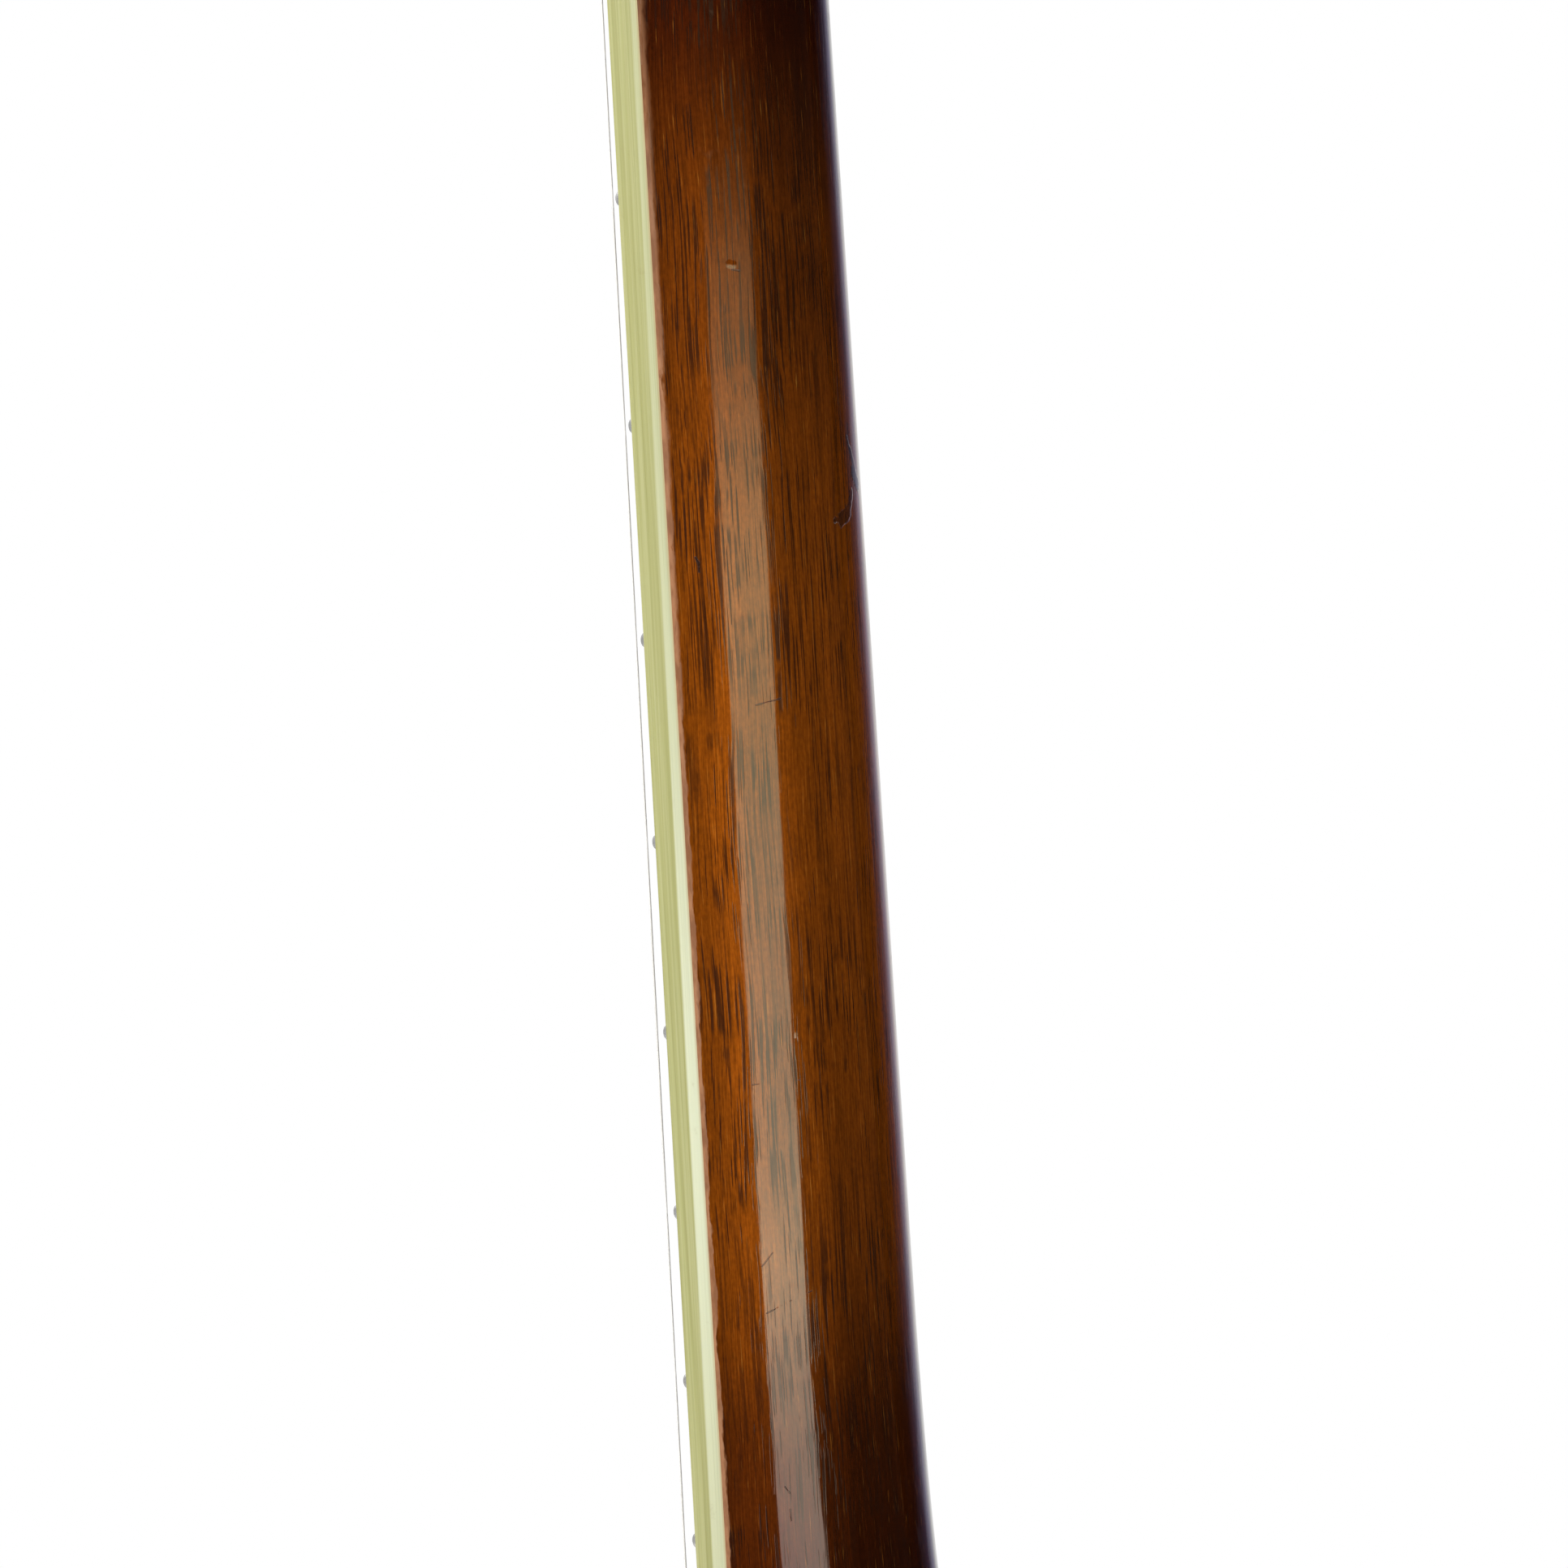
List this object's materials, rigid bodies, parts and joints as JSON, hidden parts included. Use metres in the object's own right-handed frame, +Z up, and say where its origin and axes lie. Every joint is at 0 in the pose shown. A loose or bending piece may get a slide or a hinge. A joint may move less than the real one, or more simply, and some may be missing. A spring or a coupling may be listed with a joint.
{
  "type": "tenor banjo",
  "caption": "Strung four-string tenor banjo with a bound and fretted neck, geared tuners, a skin-headed drum and a wooden resonator.",
  "frame": {"origin": "on the fingerboard's face and centre line, at the edge of the nut that the strings leave", "axes": "+Z up the strings to the peghead, +X to the treble side, +Y to the back of the neck and resonator"},
  "size_m": [0.343, 0.0948, 0.8439],
  "materials": {
    "mahogany": "gloss lacquer over stained mahogany",
    "ebony": "oiled",
    "maple": "satin",
    "maple_dark": "gloss lacquer over stained maple",
    "ivoroid": "polished, grained",
    "pearl": "polished shell",
    "pearloid": "polished",
    "black_plastic": "polished",
    "bone": "polished bone",
    "fret_wire": "polished nickel silver",
    "steel": "plain",
    "nickel": "nickel plate",
    "bronze": "bell bronze",
    "brass": "cut gear brass",
    "string_steel": "drawn wire",
    "skin": "frosted membrane"
  },
  "bodies": {
    "instrument": {"armrest": "nickel", "armrest_clamps": "nickel", "bridge": "maple", "bridge_cap": "ebony", "coordinator_rods": "steel", "cover_screws": "nickel", "fingerboard": "ebony", "fingerboard_binding": "ivoroid", "flange": "nickel", "flesh_hoop": "brass", "frets": "fret_wire", "head": "skin", "hook_nuts": "nickel", "hooks": "nickel", "neck": "mahogany", "nut": "bone", "peghead_inlay": "pearl", "peghead_veneer": "ebony", "position_marks": "pearl", "resonator_back": "mahogany", "resonator_binding": "ivoroid", "resonator_lugs": "nickel", "resonator_wall": "mahogany", "rim": "maple_dark", "side_dots": "black_plastic", "string_1": "string_steel", "string_2": "string_steel", "string_3": "string_steel", "string_4": "string_steel", "tailpiece_base": "nickel", "tension_hoop": "nickel", "thumb_screws": "nickel", "tone_ring": "bronze", "truss_rod": "steel", "truss_rod_cover": "black_plastic", "truss_rod_strip": "maple", "tuner_bushings": "nickel", "tuner_housings": "nickel", "tuner_lids": "nickel"},
    "tailpiece_lid": {"tailpiece_cover": "nickel"},
    "button_1": {"tuner_shaft_1": "steel", "tuner_button_1": "pearloid"},
    "post_1": {"tuner_post_1": "nickel"},
    "planet_1a": {"tuner_planet_1a": "brass"},
    "planet_1b": {"tuner_planet_1b": "brass"},
    "button_2": {"tuner_shaft_2": "steel", "tuner_button_2": "pearloid"},
    "post_2": {"tuner_post_2": "nickel"},
    "planet_2a": {"tuner_planet_2a": "brass"},
    "planet_2b": {"tuner_planet_2b": "brass"},
    "button_3": {"tuner_shaft_3": "steel", "tuner_button_3": "pearloid"},
    "post_3": {"tuner_post_3": "nickel"},
    "planet_3a": {"tuner_planet_3a": "brass"},
    "planet_3b": {"tuner_planet_3b": "brass"},
    "button_4": {"tuner_shaft_4": "steel", "tuner_button_4": "pearloid"},
    "post_4": {"tuner_post_4": "nickel"},
    "planet_4a": {"tuner_planet_4a": "brass"},
    "planet_4b": {"tuner_planet_4b": "brass"}
  },
  "joints": [
    {"name": "tailpiece_cover_hinge", "type": "hinge", "parent": "instrument", "child": "tailpiece_lid", "pos_m": [0, 0.0002, -0.687], "axis": [1, 0, 0], "range_deg": [0, 95]},
    {"name": "tuner_1_button_turn", "type": "hinge", "parent": "instrument", "child": "button_1", "pos_m": [0.02, 0.02736, 0.04445], "axis": [0, 0.9724, -0.2334], "continuous": true},
    {"name": "tuner_1_post_turn", "type": "hinge", "parent": "instrument", "child": "post_1", "pos_m": [0.02, 0.02736, 0.04445], "axis": [0, 0.9724, -0.2334], "continuous": true},
    {"name": "tuner_1_planet_a_turn", "type": "hinge", "parent": "post_1", "child": "planet_1a", "pos_m": [0.0242, 0.02736, 0.04445], "axis": [0, 0.9724, -0.2334], "continuous": true},
    {"name": "tuner_1_planet_b_turn", "type": "hinge", "parent": "post_1", "child": "planet_1b", "pos_m": [0.0158, 0.02736, 0.04445], "axis": [0, 0.9724, -0.2334], "continuous": true},
    {"name": "tuner_2_button_turn", "type": "hinge", "parent": "instrument", "child": "button_2", "pos_m": [0.02, 0.03903, 0.09307], "axis": [0, 0.9724, -0.2334], "continuous": true},
    {"name": "tuner_2_post_turn", "type": "hinge", "parent": "instrument", "child": "post_2", "pos_m": [0.02, 0.03903, 0.09307], "axis": [0, 0.9724, -0.2334], "continuous": true},
    {"name": "tuner_2_planet_a_turn", "type": "hinge", "parent": "post_2", "child": "planet_2a", "pos_m": [0.0242, 0.03903, 0.09307], "axis": [0, 0.9724, -0.2334], "continuous": true},
    {"name": "tuner_2_planet_b_turn", "type": "hinge", "parent": "post_2", "child": "planet_2b", "pos_m": [0.0158, 0.03903, 0.09307], "axis": [0, 0.9724, -0.2334], "continuous": true},
    {"name": "tuner_3_button_turn", "type": "hinge", "parent": "instrument", "child": "button_3", "pos_m": [-0.02, 0.03903, 0.09307], "axis": [0, 0.9724, -0.2334], "continuous": true},
    {"name": "tuner_3_post_turn", "type": "hinge", "parent": "instrument", "child": "post_3", "pos_m": [-0.02, 0.03903, 0.09307], "axis": [0, 0.9724, -0.2334], "continuous": true},
    {"name": "tuner_3_planet_a_turn", "type": "hinge", "parent": "post_3", "child": "planet_3a", "pos_m": [-0.0158, 0.03903, 0.09307], "axis": [0, 0.9724, -0.2334], "continuous": true},
    {"name": "tuner_3_planet_b_turn", "type": "hinge", "parent": "post_3", "child": "planet_3b", "pos_m": [-0.0242, 0.03903, 0.09307], "axis": [0, 0.9724, -0.2334], "continuous": true},
    {"name": "tuner_4_button_turn", "type": "hinge", "parent": "instrument", "child": "button_4", "pos_m": [-0.02, 0.02736, 0.04445], "axis": [0, 0.9724, -0.2334], "continuous": true},
    {"name": "tuner_4_post_turn", "type": "hinge", "parent": "instrument", "child": "post_4", "pos_m": [-0.02, 0.02736, 0.04445], "axis": [0, 0.9724, -0.2334], "continuous": true},
    {"name": "tuner_4_planet_a_turn", "type": "hinge", "parent": "post_4", "child": "planet_4a", "pos_m": [-0.0158, 0.02736, 0.04445], "axis": [0, 0.9724, -0.2334], "continuous": true},
    {"name": "tuner_4_planet_b_turn", "type": "hinge", "parent": "post_4", "child": "planet_4b", "pos_m": [-0.0242, 0.02736, 0.04445], "axis": [0, 0.9724, -0.2334], "continuous": true}
  ],
  "couplings": [
    {"joint": "tuner_1_post_turn", "follows": "tuner_1_button_turn", "ratio": 0.25},
    {"joint": "tuner_1_planet_a_turn", "follows": "tuner_1_button_turn", "ratio": -0.75},
    {"joint": "tuner_1_planet_b_turn", "follows": "tuner_1_button_turn", "ratio": -0.75},
    {"joint": "tuner_2_post_turn", "follows": "tuner_2_button_turn", "ratio": 0.25},
    {"joint": "tuner_2_planet_a_turn", "follows": "tuner_2_button_turn", "ratio": -0.75},
    {"joint": "tuner_2_planet_b_turn", "follows": "tuner_2_button_turn", "ratio": -0.75},
    {"joint": "tuner_3_post_turn", "follows": "tuner_3_button_turn", "ratio": 0.25},
    {"joint": "tuner_3_planet_a_turn", "follows": "tuner_3_button_turn", "ratio": -0.75},
    {"joint": "tuner_3_planet_b_turn", "follows": "tuner_3_button_turn", "ratio": -0.75},
    {"joint": "tuner_4_post_turn", "follows": "tuner_4_button_turn", "ratio": 0.25},
    {"joint": "tuner_4_planet_a_turn", "follows": "tuner_4_button_turn", "ratio": -0.75},
    {"joint": "tuner_4_planet_b_turn", "follows": "tuner_4_button_turn", "ratio": -0.75}
  ]
}
